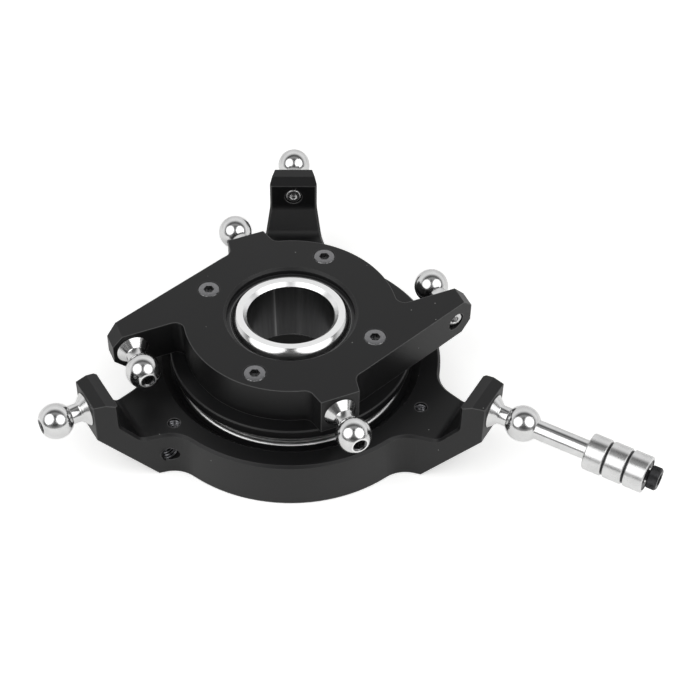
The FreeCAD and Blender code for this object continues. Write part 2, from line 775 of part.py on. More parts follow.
def check_document():
    doc.recompute()
    for item in doc.Objects:
        if "Invalid" in item.State or "Error" in item.State:
            raise RuntimeError("%s failed: %s" % (item.Name, item.State))
    for part in parts:
        if part.Shape.isNull() or not part.Shape.isValid():
            raise RuntimeError("bad shape in " + part.Label)


def main():
    fill_sheet()
    lower_ring()
    main_bearing()
    upper_plate()
    hub()
    for index in range(4):
        plate_screw(index)
    liner("liner_upper", Size(0), size("liner_top"))
    liner("liner_lower", size("liner_base"), Size(0))
    uniball()
    ring_studs()
    plate_studs()
    guide_pin()
    guide_rollers()
    guide_washers()
    guide_cap_screw()
    check_document()
    os.makedirs("parts", exist_ok=True)
    for part in parts:
        part.Shape.exportStep(os.path.join("parts", part.Label + ".step"))


main()
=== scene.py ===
"""Looks for a model helicopter's swashplate: finishes, finer turned parts and the studio."""

import math

import bmesh
import bpy
from bpy.props import FloatProperty, FloatVectorProperty, PointerProperty
from mathutils import Matrix, Vector


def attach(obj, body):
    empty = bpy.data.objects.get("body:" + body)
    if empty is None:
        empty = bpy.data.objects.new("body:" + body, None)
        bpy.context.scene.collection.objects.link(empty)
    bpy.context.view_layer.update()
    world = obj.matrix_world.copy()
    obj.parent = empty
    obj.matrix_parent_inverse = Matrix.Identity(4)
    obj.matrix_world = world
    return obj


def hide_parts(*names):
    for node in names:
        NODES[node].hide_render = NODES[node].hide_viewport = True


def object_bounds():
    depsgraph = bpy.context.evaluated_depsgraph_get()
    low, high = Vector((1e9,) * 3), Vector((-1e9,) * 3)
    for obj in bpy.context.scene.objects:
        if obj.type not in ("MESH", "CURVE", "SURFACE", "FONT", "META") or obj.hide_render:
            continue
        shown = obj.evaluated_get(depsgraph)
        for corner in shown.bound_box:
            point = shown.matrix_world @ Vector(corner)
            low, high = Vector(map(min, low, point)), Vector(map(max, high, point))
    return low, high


bl_info = {
    "name": "Swashplate dresser",
    "version": (1, 0, 0),
    "blender": (4, 5, 0),
    "location": "View3D > Sidebar > Swashplate",
    "description": "Finishes, turned parts and studio for the packed swashplate",
    "category": "Object",
}

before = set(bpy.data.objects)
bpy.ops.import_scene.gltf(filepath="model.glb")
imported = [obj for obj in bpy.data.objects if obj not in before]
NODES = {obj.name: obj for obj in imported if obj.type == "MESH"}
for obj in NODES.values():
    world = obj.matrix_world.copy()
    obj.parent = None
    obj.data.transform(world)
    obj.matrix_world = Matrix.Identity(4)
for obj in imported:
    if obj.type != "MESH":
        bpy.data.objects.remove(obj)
CAD_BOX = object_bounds()
MM = 0.001

RING, PLATE, BALL = "lower_ring_body", "upper_plate_body", "centre_ball_body"
# compass angles in degrees, places in mm from the centre of the centre ball
ARM_ANGLES = {"left": 210, "back": 90, "right": 330}
TOP_HOLES = {"left": 220.1, "back": 95.4, "right": 330.6}
PLATE_SPIN = 23.1
BALL_PLANE = 2.2
LUG_FACE = 30.55
PLATE_TOP = 5.0
RING_TOP = -3.0
UPRIGHT = Vector((0, 0, 1))


# ---------------------------------------------------------------- colours and nodes

def linear(code):
    """An sRGB hex colour as linear red, green, blue and alpha."""
    parts = [int(code[i:i + 2], 16) / 255 for i in (1, 3, 5)]
    return [c / 12.92 if c <= 0.04045 else ((c + 0.055) / 1.055) ** 2.4 for c in parts] + [1.0]


def add(tree, kind, links=None, **settings):
    """Add a node; settings name its properties or its input sockets, links join sockets to its inputs."""
    made = tree.nodes.new(kind)
    for name, value in settings.items():
        if hasattr(made, name):
            setattr(made, name, value)
        else:
            made.inputs[name.replace("_", " ")].default_value = value
    for name, socket in (links or {}).items():
        tree.links.new(socket, made.inputs[name])
    return made


def start_material(name):
    """An empty node material with its output; returns the material, its tree and the output."""
    made = bpy.data.materials.new(name)
    made.use_nodes = True
    made.node_tree.nodes.clear()
    return made, made.node_tree, add(made.node_tree, "ShaderNodeOutputMaterial")


def finish_material(tree, output, links, **settings):
    """Close a material with one Principled shader."""
    shader = add(tree, "ShaderNodeBsdfPrincipled", links, **settings)
    tree.links.new(shader.outputs["BSDF"], output.inputs["Surface"])


def ramp(tree, factor, stops):
    """A colour ramp with (position, linear colour) stops."""
    made = add(tree, "ShaderNodeValToRGB", {"Fac": factor})
    elements = made.color_ramp.elements
    elements[0].position, elements[0].color = stops[0]
    elements[1].position, elements[1].color = stops[-1]
    for position, colour in stops[1:-1]:
        elements.new(position).color = colour
    return made


# ---------------------------------------------------------------- mesh helpers

def turned(profile, steps=96):
    """Lathe a half profile about Z. Points are (radius, height) in mm, or a swing of the last point
    (centre radius, centre height, degrees, steps), which draws an arc."""
    bm = bmesh.new()
    last = bm.verts.new((profile[0][0] * MM, 0, profile[0][1] * MM))
    for point in profile[1:]:
        if len(point) == 2:
            made = bm.verts.new((point[0] * MM, 0, point[1] * MM))
            bm.edges.new((last, made))
            last = made
            continue
        radius, height, degrees, count = point
        swung = bmesh.ops.spin(
            bm, geom=[last], cent=(radius * MM, 0, height * MM), axis=(0, 1, 0),
            angle=math.radians(degrees), steps=count, use_duplicate=False,
        )
        last = [g for g in swung["geom_last"] if isinstance(g, bmesh.types.BMVert)][0]
    bmesh.ops.spin(
        bm, geom=bm.verts[:] + bm.edges[:], cent=(0, 0, 0), axis=(0, 0, 1),
        angle=math.tau, steps=steps, use_merge=True, use_duplicate=False,
    )
    bmesh.ops.remove_doubles(bm, verts=bm.verts[:], dist=1e-7)
    bmesh.ops.recalc_face_normals(bm, faces=bm.faces[:])
    return bm


def ring_at(bm, radius, height):
    """The edges that lie on a circle about Z."""
    def on_it(vert):
        across = math.hypot(vert.co.x, vert.co.y)
        return abs(across - radius * MM) < 2e-6 and abs(vert.co.z - height * MM) < 2e-6
    return [e for e in bm.edges if on_it(e.verts[0]) and on_it(e.verts[1])]


def hex_socket(bm, radius, height, across, depth):
    """Draw the open circle at the top in to a hexagon and sink it, with a drilled cone in its floor.
    The socket's faces take the piece's second material."""
    rim = ring_at(bm, radius, height)
    outside = set(bm.faces)
    for vert in {v for e in rim for v in e.verts}:
        turn = math.degrees(math.atan2(vert.co.y, vert.co.x)) % 60 - 30
        reach = across / 2 / math.cos(math.radians(turn)) * MM
        vert.co.xy = vert.co.xy.normalized() * reach
    walls, floor, drill_point = (depth, 1.0), (0.0, 0.8), (across * 0.22, 0.02)
    for drop, narrow in (walls, floor, drill_point):
        grown = bmesh.ops.extrude_edge_only(bm, edges=rim)["geom"]
        verts = [g for g in grown if isinstance(g, bmesh.types.BMVert)]
        rim = [g for g in grown if isinstance(g, bmesh.types.BMEdge) and set(g.verts) <= set(verts)]
        bmesh.ops.scale(bm, vec=(narrow, narrow, 1), verts=verts)
        bmesh.ops.translate(bm, vec=(0, 0, -drop * MM), verts=verts)
    bmesh.ops.edgeloop_fill(bm, edges=rim)
    for face in set(bm.faces) - outside:
        face.material_index = 1
    bmesh.ops.recalc_face_normals(bm, faces=bm.faces[:])


def paint(bm, index, wanted):
    """Give faces another of the piece's materials, by a test of the reach and height of their middle."""
    for face in bm.faces:
        middle = face.calc_center_median() / MM
        if wanted(math.hypot(middle.x, middle.y), middle.z):
            face.material_index = index


def helix(radius, depth, pitch, turns, low, steps=32):
    """One V-shaped thread wound round Z; a negative depth points inwards, as in a tapped hole."""
    bm = bmesh.new()
    half = pitch * 0.42
    crest = half * 0.25
    corners = [(radius, -half), (radius + depth, -crest), (radius + depth, crest), (radius, half)]
    verts = [bm.verts.new((r * MM, 0, (low + z) * MM)) for r, z in corners]
    for a, b in zip(verts, verts[1:] + verts[:1]):
        bm.edges.new((a, b))
    count = round(turns * steps)
    bmesh.ops.spin(
        bm, geom=bm.verts[:] + bm.edges[:], cent=(0, 0, 0), axis=(0, 0, 1),
        dvec=(0, 0, pitch * MM / steps), angle=math.tau * turns, steps=count, use_duplicate=False,
    )
    bmesh.ops.holes_fill(bm, edges=[e for e in bm.edges if e.is_boundary], sides=4)
    bmesh.ops.recalc_face_normals(bm, faces=bm.faces[:])
    return bm


def aimed(position, direction):
    """The matrix that stands a piece made about Z at a position in mm, with its Z along a direction."""
    turn = direction.to_track_quat("Z", "X").to_matrix().to_4x4()
    return Matrix.Translation(Vector(position) * MM) @ turn


def compass(degrees):
    return Vector((math.cos(math.radians(degrees)), math.sin(math.radians(degrees)), 0))


def make_piece(name, bm, body, materials, place=None, stands_for=()):
    """Turn a bmesh into a piece that rides on a body; its place goes into its mesh."""
    if place is not None:
        bmesh.ops.transform(bm, matrix=place, verts=bm.verts[:])
    mesh = bpy.data.meshes.new(name)
    bm.to_mesh(mesh)
    bm.free()
    mesh.polygons.foreach_set("use_smooth", [True] * len(mesh.polygons))
    mesh.set_sharp_from_angle(angle=math.radians(32))
    for material in materials:
        mesh.materials.append(bpy.data.materials[material])
    piece = bpy.data.objects.new(name, mesh)
    bpy.context.scene.collection.objects.link(piece)
    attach(piece, body)
    if stands_for:
        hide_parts(*stands_for)
    return piece


def dress(node, material):
    """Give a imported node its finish."""
    slots = NODES[node].data.materials
    slots.clear()
    slots.append(bpy.data.materials[material])


# ---------------------------------------------------------------- settings

class SwashplateSizes(bpy.types.PropertyGroup):
    """Sizes of the turned parts, in metres."""

    ball_radius: FloatProperty(
        name="Ball radius", description="Radius of a linkage ball", default=2.375 * MM, unit="LENGTH")
    ball_reach: FloatProperty(
        name="Ball reach", description="From the arm's face to the ball's centre",
        default=4.3 * MM, unit="LENGTH")
    neck_radius: FloatProperty(
        name="Neck radius", description="Radius of the neck behind the ball",
        default=1.28 * MM, unit="LENGTH")
    flange_radius: FloatProperty(
        name="Flange radius", description="Radius of the cone where it meets the arm",
        default=2.25 * MM, unit="LENGTH")
    socket_across: FloatProperty(
        name="Socket", description="Hexagon socket of a linkage ball across its flats",
        default=1.5 * MM, unit="LENGTH")
    edge_softness: FloatProperty(
        name="Edge softness", description="Width over which a milled edge catches the light",
        default=0.1 * MM, unit="LENGTH")


class SwashplateFinishes(bpy.types.PropertyGroup):
    """Base colours of the finishes."""

    anodised: FloatVectorProperty(
        name="Black anodising", description="Dyed oxide on the aluminium parts",
        default=linear("#0A0A0B")[:3], subtype="COLOR", size=3)
    steel: FloatVectorProperty(
        name="Polished steel", description="Linkage balls, guide pin and centre ball",
        default=linear("#DEDEDE")[:3], subtype="COLOR", size=3)
    screw: FloatVectorProperty(
        name="Screw steel", description="Heads of the plate screws",
        default=linear("#8E8E90")[:3], subtype="COLOR", size=3)


def sizes():
    return bpy.context.scene.swashplate_sizes


def finishes():
    return bpy.context.scene.swashplate_finishes


# ---------------------------------------------------------------- finishes

class SWASH_OT_finishes(bpy.types.Operator):
    """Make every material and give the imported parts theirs"""

    bl_idname = "swash.finishes"
    bl_label = "Finishes"

    def execute(self, context):
        black_anodised()
        polished_steel("steel_polished", 0.16, 0.0)
        polished_steel("steel_ground", 0.26, 0.25)
        polished_steel("steel_bearing_race", 0.36, 0.03)
        turned_face_steel()
        honed_steel()
        screw_steel()
        painted_shade_steel()
        black_oxide_steel()
        machined_acetal()
        bare_thread()
        for node in ("lower_ring", "upper_plate", "hub"):
            dress(node, "aluminium_black_anodised")
        for node in ("liner_upper", "liner_lower"):
            dress(node, "acetal_machined")
        for node in NODES:
            if node.startswith("main_bearing"):
                dress(node, "steel_bearing_race")
            elif node.startswith("guide_roller"):
                dress(node, "steel_ground")
        return {"FINISHED"}


def painted_edge_highlight(tree, colour, pale):
    """Lighten the outer corners with a painted highlight, as where an edge catches the light: there the
    next face is near from inside.
    """
    corner = add(
        tree, "ShaderNodeAmbientOcclusion", samples=8, inside=True, only_local=True, Distance=0.16 * MM)
    edge_highlight_mask = ramp(tree, corner.outputs["AO"], [(0.5, linear("#B4B4B4")), (0.93, linear("#000000"))])
    mixed = add(tree, "ShaderNodeMix", {"Factor": edge_highlight_mask.outputs["Color"], "A": colour}, data_type="RGBA")
    mixed.inputs["B"].default_value = linear(pale)
    return mixed.outputs["Result"]


def black_anodised():
    """Fine-blasted aluminium under a dyed oxide: near black, with a broad soft sheen and some dust."""
    made, tree, output = start_material("aluminium_black_anodised")
    place = add(tree, "ShaderNodeTexCoord").outputs["Object"]
    # blasting leaves a grain of about 0.03 mm, drawn here at 0.12 mm so that it shows
    grain = add(tree, "ShaderNodeTexNoise", {"Vector": place}, Scale=1 / (0.12 * MM), Detail=3.0)
    cloud = add(tree, "ShaderNodeTexNoise", {"Vector": place}, Scale=1 / (6 * MM), Detail=2.0)
    dark = list(finishes().anodised) + [1.0]
    tone = ramp(tree, cloud.outputs["Fac"], [(0.3, dark), (0.7, [c * 1.25 for c in dark[:3]] + [1.0])])
    # dust specks up to 0.15 mm across, one in each cell of 2.6 mm
    speck = add(tree, "ShaderNodeTexVoronoi", {"Vector": place}, Scale=1 / (2.6 * MM), Randomness=1.0)
    lit = add(tree, "ShaderNodeMath", {0: speck.outputs["Distance"]}, operation="LESS_THAN")
    lit.inputs[1].default_value = 0.028
    dusty = add(
        tree, "ShaderNodeMix", {"Factor": lit.outputs[0], "A": tone.outputs["Color"]}, data_type="RGBA")
    dusty.inputs["B"].default_value = linear("#8A8A88")
    edge = add(tree, "ShaderNodeBevel", samples=6, Radius=sizes().edge_softness)
    bump = add(
        tree, "ShaderNodeBump", {"Height": grain.outputs["Fac"], "Normal": edge.outputs["Normal"]},
        Strength=0.12, Distance=0.01 * MM,
    )
    # a painted highlight on the outer corners, paler than the black
    colour = painted_edge_highlight(tree, dusty.outputs["Result"], "#7C7C7C")
    finish_material(
        tree, output, {"Base Color": colour, "Normal": bump.outputs["Normal"]}, Roughness=0.42, IOR=1.42)


def polished_steel(name, roughness, marks):
    """Hard bright steel: a mirror when polished, duller and faintly grained when only ground."""
    made, tree, output = start_material(name)
    place = add(tree, "ShaderNodeTexCoord").outputs["Object"]
    # grinding leaves a grain of about 0.05 mm, drawn at 0.15 mm so that it shows
    grain = add(tree, "ShaderNodeTexNoise", {"Vector": place}, Scale=1 / (0.15 * MM), Detail=2.0)
    smear = add(tree, "ShaderNodeTexNoise", {"Vector": place}, Scale=1 / (1.6 * MM), Detail=3.0)
    tint = list(finishes().steel) + [1.0]
    tone = ramp(tree, smear.outputs["Fac"], [(0.35, [c * 0.9 for c in tint[:3]] + [1.0]), (0.65, tint)])
    rough = add(tree, "ShaderNodeMapRange", {"Value": smear.outputs["Fac"]})
    rough.inputs["To Min"].default_value = roughness * 0.8
    rough.inputs["To Max"].default_value = roughness * 1.3
    bump = add(
        tree, "ShaderNodeBump", {"Height": grain.outputs["Fac"]}, Strength=0.04 + marks * 0.3,
        Distance=0.01 * MM,
    )
    links = {
        "Base Color": tone.outputs["Color"], "Roughness": rough.outputs["Result"],
        "Normal": bump.outputs["Normal"],
    }
    finish_material(tree, output, links, Metallic=1.0)


def turned_face_steel():
    """Steel faced on a lathe: fine rings round the mast that spread the light into a bright, even band. Its
    base colour, lighter than the polished steel's, is a painted highlight.
    """
    made, tree, output = start_material("steel_faced")
    place = add(tree, "ShaderNodeTexCoord").outputs["Object"]
    # the tool's feed is about 0.1 mm a turn, drawn as rings 0.25 mm apart so that they show
    rings = add(
        tree, "ShaderNodeTexWave", {"Vector": place}, wave_type="RINGS", rings_direction="Z",
        Scale=1 / (0.8 * MM), Distortion=0.3, Detail=1.0,
    )
    bump = add(tree, "ShaderNodeBump", {"Height": rings.outputs["Fac"]}, Strength=0.35, Distance=0.01 * MM)
    # the base colour, lighter than the polished steel's, is a painted highlight
    finish_material(
        tree, output, {"Normal": bump.outputs["Normal"]},
        Base_Color=linear("#F4F4F4"), Metallic=1.0, Roughness=0.3,
    )


def honed_steel():
    """A honed bore with fine marks, its colour darker than the faces as painted shade inside the bore, and
    two painted reflection streaks along the mast.
    """
    made, tree, output = start_material("steel_honed_bore")
    place = add(tree, "ShaderNodeTexCoord").outputs["Object"]
    # marks 0.1 to 0.45 mm wide, drawn out fifty times as long along the mast
    drawn = add(tree, "ShaderNodeMapping", {"Vector": place}, Scale=(1.0, 1.0, 0.02))
    marks = add(
        tree, "ShaderNodeTexNoise", {"Vector": drawn.outputs["Vector"]}, Scale=1 / (0.45 * MM), Detail=3.0)
    # the base tone, darker than the faced steel, is painted shade inside the bore
    tone = ramp(tree, marks.outputs["Fac"], [(0.3, linear("#626263")), (0.8, linear("#707071"))])
    # a broad faint painted reflection streak and a thin bright one with a soft edge, by their share of a
    # turn from -X
    turn = add(tree, "ShaderNodeTexGradient", {"Vector": place}, gradient_type="RADIAL")
    painted_bore_streaks = ramp(tree, turn.outputs["Fac"], [
        (0.705, linear("#000000")), (0.72, linear("#484848")), (0.735, linear("#000000")),
        (0.798, linear("#000000")), (0.810, linear("#3C3C3C")), (0.8135, linear("#D0D0D0")),
        (0.817, linear("#3C3C3C")), (0.829, linear("#000000")),
    ])
    bore_with_painted_streaks = add(
        tree, "ShaderNodeMix", {"Factor": painted_bore_streaks.outputs["Color"], "A": tone.outputs["Color"]},
        data_type="RGBA",
    )
    bore_with_painted_streaks.inputs["B"].default_value = linear("#FFFFFF")
    bump = add(tree, "ShaderNodeBump", {"Height": marks.outputs["Fac"]}, Strength=0.2, Distance=0.01 * MM)
    finish_material(
        tree, output, {"Base Color": bore_with_painted_streaks.outputs["Result"], "Normal": bump.outputs["Normal"]},
        Metallic=1.0, Roughness=0.3,
    )


def painted_shade_steel():
    """The inside of a broached socket, and the gap round a screw head: steel darkened as painted shade,
    with dark tool marks and paler painted glints.
    """
    made, tree, output = start_material("steel_painted_shade")
    place = add(tree, "ShaderNodeTexCoord").outputs["Object"]
    grain = add(tree, "ShaderNodeTexNoise", {"Vector": place}, Scale=1 / (0.25 * MM), Detail=2.0)
    # dark stop is painted shade, pale stop painted glints
    tone = ramp(tree, grain.outputs["Fac"], [(0.35, linear("#3A3A3B")), (0.7, linear("#9A9A9B"))])
    finish_material(tree, output, {"Base Color": tone.outputs["Color"]}, Metallic=1.0, Roughness=0.35)


def screw_steel():
    """Dull plated screw steel: mid grey, softly spread highlights."""
    made, tree, output = start_material("steel_screw")
    place = add(tree, "ShaderNodeTexCoord").outputs["Object"]
    grain = add(tree, "ShaderNodeTexNoise", {"Vector": place}, Scale=1 / (0.2 * MM), Detail=3.0)
    tint = list(finishes().screw) + [1.0]
    tone = ramp(tree, grain.outputs["Fac"], [(0.3, [c * 0.75 for c in tint[:3]] + [1.0]), (0.7, tint)])
    bump = add(tree, "ShaderNodeBump", {"Height": grain.outputs["Fac"]}, Strength=0.15, Distance=0.01 * MM)
    finish_material(
        tree, output, {"Base Color": tone.outputs["Color"], "Normal": bump.outputs["Normal"]},
        Metallic=1.0, Roughness=0.38,
    )


def black_oxide_steel():
    """Chemically blackened alloy steel: a dark metal with a faint oily shine."""
    made, tree, output = start_material("steel_black_oxide")
    place = add(tree, "ShaderNodeTexCoord").outputs["Object"]
    cloud = add(tree, "ShaderNodeTexNoise", {"Vector": place}, Scale=1 / (0.6 * MM), Detail=3.0)
    tone = ramp(tree, cloud.outputs["Fac"], [(0.3, linear("#242425")), (0.7, linear("#38383A"))])
    bump = add(tree, "ShaderNodeBump", {"Height": cloud.outputs["Fac"]}, Strength=0.1, Distance=0.02 * MM)
    finish_material(
        tree, output, {"Base Color": tone.outputs["Color"], "Normal": bump.outputs["Normal"]},
        Metallic=0.6, Roughness=0.34,
    )


def machined_acetal():
    """Black acetal turned on a lathe: a waxy low shine with faint tool rings."""
    made, tree, output = start_material("acetal_machined")
    place = add(tree, "ShaderNodeTexCoord").outputs["Object"]
    # rings 0.25 mm apart, as on the faced steel
    rings = add(
        tree, "ShaderNodeTexWave", {"Vector": place}, wave_type="RINGS", rings_direction="Z",
        Scale=1 / (0.8 * MM), Distortion=0.4, Detail=1.0,
    )
    tone = ramp(tree, rings.outputs["Fac"], [(0.2, linear("#161617")), (0.8, linear("#2C2C2D"))])
    edge = add(tree, "ShaderNodeBevel", samples=6, Radius=sizes().edge_softness)
    bump = add(
        tree, "ShaderNodeBump", {"Height": rings.outputs["Fac"], "Normal": edge.outputs["Normal"]},
        Strength=0.2, Distance=0.01 * MM,
    )
    # a painted highlight on the outer corners of the liners
    colour = painted_edge_highlight(tree, tone.outputs["Color"], "#A8A8A8")
    finish_material(
        tree, output, {"Base Color": colour, "Normal": bump.outputs["Normal"]}, Roughness=0.3, IOR=1.48)


def bare_thread():
    """Aluminium tapped after anodising: bright where the tap cut through the black."""
    made, tree, output = start_material("aluminium_tapped")
    place = add(tree, "ShaderNodeTexCoord").outputs["Object"]
    cloud = add(tree, "ShaderNodeTexNoise", {"Vector": place}, Scale=1 / (0.3 * MM), Detail=2.0)
    tone = ramp(tree, cloud.outputs["Fac"], [(0.35, linear("#38383A")), (0.65, linear("#77777A"))])
    finish_material(tree, output, {"Base Color": tone.outputs["Color"]}, Metallic=1.0, Roughness=0.3)


# ---------------------------------------------------------------- linkage balls and guide pin

STUD_TAIL = 3.08


def stud_profile():
    """Half profile of a stud up to its ball, and how far off the axis the neck meets it, in degrees.
    Height 0 is the arm's face."""
    s = sizes()
    ball, reach, neck = s.ball_radius / MM, s.ball_reach / MM, s.neck_radius / MM
    flange = s.flange_radius / MM
    core, pit, end = 1.22, 0.5, -STUD_TAIL
    lift = math.degrees(math.asin(neck / ball))
    meeting = reach - ball * math.cos(math.radians(lift))
    centre_hole = [(0.0, end + 1.0), (pit, end + 0.8), (pit, end + 0.05), (pit + 0.06, end)]
    rounded_tail = [
        (core - 0.4, end), (core - 0.2, end + 0.06), (core - 0.06, end + 0.2), (core, end + 0.4),
        (core, 0.0),
    ]
    undercut_flange = [
        (flange - 0.14, 0.0), (flange - 0.14, 0.05), (flange, 0.07), (flange, 0.13), (flange - 0.04, 0.17),
    ]
    cone_and_neck = [(neck + 0.1, 1.02), (neck + 0.03, 1.09), (neck, 1.16), (neck, meeting)]
    return centre_hole + rounded_tail + undercut_flange + cone_and_neck, lift


def stud_thread():
    """The rolled thread of a stud, inside the arm."""
    return helix(radius=1.18, depth=0.06, pitch=0.45, turns=5.0, low=-2.55)


def ball_points(lift, end):
    """The arc of the ball from its neck to a circle that is end degrees off the axis."""
    return (0.0, sizes().ball_reach / MM, -(180 - lift - end), 40)


def ball_stud(name, body, position, direction, node):
    """Linkage ball on its stud, with a hexagon socket in a small flat at the pole and a rolled thread."""
    s = sizes()
    ball, reach = s.ball_radius / MM, s.ball_reach / MM
    profile, lift = stud_profile()
    flat_edge, rim, mouth, sink = 30.0, 0.99, 0.92, 0.2
    pole = reach + ball * math.cos(math.radians(flat_edge))
    bm = turned(profile + [ball_points(lift, flat_edge), (rim, pole), (mouth, pole - sink)])
    hex_socket(bm, mouth, pole - sink, s.socket_across / MM, 1.1)
    # the socket and its mouth take steel darkened as painted shade
    paint(bm, 1, lambda reach, height: reach < rim and height > pole - sink - 0.05)
    paint(bm, 2, lambda reach, height: height < -STUD_TAIL + 0.48)
    # the flat round the socket takes the lighter faced steel, a painted highlight
    paint(bm, 3, lambda reach, height: reach > rim and height > pole - 0.01)
    finish = ("steel_polished", "steel_painted_shade", "steel_ground", "steel_faced")
    place = aimed(position, direction)
    make_piece(name, bm, body, finish, place, [node])
    make_piece(name + "_thread", stud_thread(), body, finish[:1], place)


class SWASH_OT_ball_studs(bpy.types.Operator):
    """Turn the two plain linkage balls of the lower ring and the four of the upper plate"""

    bl_idname = "swash.ball_studs"
    bl_label = "Linkage balls"

    def execute(self, context):
        for side in ("left", "back"):
            out = compass(ARM_ANGLES[side])
            position = out * LUG_FACE + UPRIGHT * BALL_PLANE
            ball_stud("ring_ball_" + side, RING, position, out, "ball_stud_ring_" + side)
        block_end, arm_reach, arm_back = 16.9, 21.25, 4.3
        for name, angle in (("short_front", 270), ("short_back", 90)):
            out = compass(PLATE_SPIN + angle)
            position = out * block_end + UPRIGHT * BALL_PLANE
            ball_stud("plate_ball_" + name, PLATE, position, out, "ball_stud_plate_" + name)
        for name, angle in (("long_front", 180), ("long_back", 0)):
            along, sideways = compass(PLATE_SPIN + angle), compass(PLATE_SPIN + angle + 90)
            position = along * arm_reach - sideways * arm_back + UPRIGHT * BALL_PLANE
            ball_stud("plate_ball_" + name, PLATE, position, sideways, "ball_stud_plate_" + name)
        return {"FINISHED"}


class SWASH_OT_guide_pin(bpy.types.Operator):
    """Turn the guide pin with its ball, the three rollers and the cap screw that holds them"""

    bl_idname = "swash.guide_pin"
    bl_label = "Guide pin"

    def execute(self, context):
        out = compass(ARM_ANGLES["right"])
        place = aimed(out * LUG_FACE + UPRIGHT * BALL_PLANE, out)
        shaft, shoulder, journal, end, bevel = 1.3, 13.45, 1.0, 21.4, 0.12
        rollers, width, pitch = 3, 2.5, 2.75
        ball, reach = sizes().ball_radius / MM, sizes().ball_reach / MM
        profile, lift = stud_profile()
        leaving = math.degrees(math.asin(shaft / ball))
        ball_end = reach + math.sqrt(ball ** 2 - shaft ** 2)
        bm = turned(profile + [
            ball_points(lift, leaving), (shaft, ball_end + 0.02), (shaft, shoulder - bevel),
            (shaft - bevel, shoulder), (journal, shoulder), (journal, end), (0.0, end),
        ])
        finish = ("steel_polished",)
        make_piece("guide_pin_turned", bm, RING, finish, place, ["guide_pin"])
        make_piece("guide_pin_thread", stud_thread(), RING, finish, place)
        for index in range(rollers):
            low = shoulder + pitch * index
            roller(index + 1, low, width, place)
            if index < rollers - 1:
                shim(index + 1, low + width, place)
        cap_screw(shoulder + pitch * rollers, place)
        return {"FINISHED"}


def roller(index, low, width, place):
    """One guide roller: outer ring with rounded shoulders and a dark shield let in to each end."""
    outer, corner, mouth, wall = 2.45, 0.1, 1.12, 0.4
    half = [
        (mouth, 0.08), (outer - wall, 0.08), (outer - wall, 0.0), (outer - corner - 0.06, 0.0),
        (outer - 0.06, 0.06), (outer, corner + 0.04),
    ]
    bm = turned(half + [(r, width - z) for r, z in reversed(half)] + [half[0]])
    paint(bm, 1, lambda reach, height: reach < outer - wall + 0.02)
    bmesh.ops.translate(bm, vec=(0, 0, low * MM), verts=bm.verts[:])
    make_piece(
        "guide_roller_%d_ring" % index, bm, "guide_roller_%d_body" % index,
        ("steel_ground", "steel_black_oxide"), place, ["guide_roller_%d" % index],
    )


def shim(index, low, place):
    """One of the shims that part the rollers, blackened as painted shade for the dark gaps between them."""
    bore, outer, base, top = 1.02, 2.2, 0.02, 0.23
    bm = turned([(bore, base), (outer, base), (outer, top), (bore, top), (bore, base)], 64)
    bmesh.ops.translate(bm, vec=(0, 0, low * MM), verts=bm.verts[:])
    make_piece(
        "guide_washer_%d_turned" % index, bm, RING, ("steel_black_oxide",), place,
        ["guide_washer_%d" % index],
    )


def cap_screw(low, place):
    """Socket cap screw with a knurled head, blackened."""
    head, height, shank, length, mouth, across, ridges = 1.5, 1.3, 0.73, 3.0, 0.9, 1.5, 72
    profile = [
        (0.0, -length), (shank, -length), (shank, 0.0), (head - 0.1, 0.0), (head, 0.12),
        (head, height - 0.2), (head - 0.2, height), (mouth, height),
    ]
    bm = turned(profile, ridges * 2)
    hex_socket(bm, mouth, height, across, 0.8)
    knurl = [v for v in bm.verts if abs(math.hypot(v.co.x, v.co.y) - head * MM) < 1e-6]
    for vert in knurl:
        if round(math.degrees(math.atan2(vert.co.y, vert.co.x)) / 180 * ridges) % 2:
            vert.co.xy *= 0.98
    bmesh.ops.translate(bm, vec=(0, 0, low * MM), verts=bm.verts[:])
    finish = ("steel_black_oxide", "steel_black_oxide")
    make_piece("guide_cap_screw_knurled", bm, RING, finish, place, ["guide_cap_screw"])


# ---------------------------------------------------------------- centre ball, screws, bearing, threads

class SWASH_OT_centre_ball(bpy.types.Operator):
    """Turn the centre ball: spherical outside, faced ends and a honed bore for the mast"""

    bl_idname = "swash.centre_ball"
    bl_label = "Centre ball"

    def execute(self, context):
        ball, half, face, bore, lean = 9.0, 4.78, 7.42, 6.0, -3.8
        flare, lower_flare, bulge = 0.5, 0.35, 0.06
        rise = 27.0
        waist, shoulder = ball * math.cos(math.radians(rise)), ball * math.sin(math.radians(rise))
        knee = ((face + waist) / 2 + bulge, (half + shoulder) / 2 + bulge)
        bm = turned([
            (bore + lower_flare, -half), (face, -half), (knee[0], -knee[1]), (waist, -shoulder),
            (0.0, 0.0, -2 * rise, 48), knee, (face, half), (bore + flare, half), (bore, half - flare),
            (bore, -half + lower_flare), (bore + lower_flare, -half),
        ], 192)
        # the faced ends take the lighter faced steel, a painted highlight
        paint(bm, 1, lambda reach, height: abs(height) > half - 0.01 or reach < bore + flare)
        # the bore takes the darker steel: painted shade with painted reflection streaks
        paint(bm, 2, lambda reach, height: reach < bore + 0.01)
        place = Matrix.Rotation(math.radians(lean), 4, "X")
        finish = ("steel_polished", "steel_faced", "steel_honed_bore")
        make_piece("centre_ball_turned", bm, BALL, finish, place, ["uniball"])
        return {"FINISHED"}


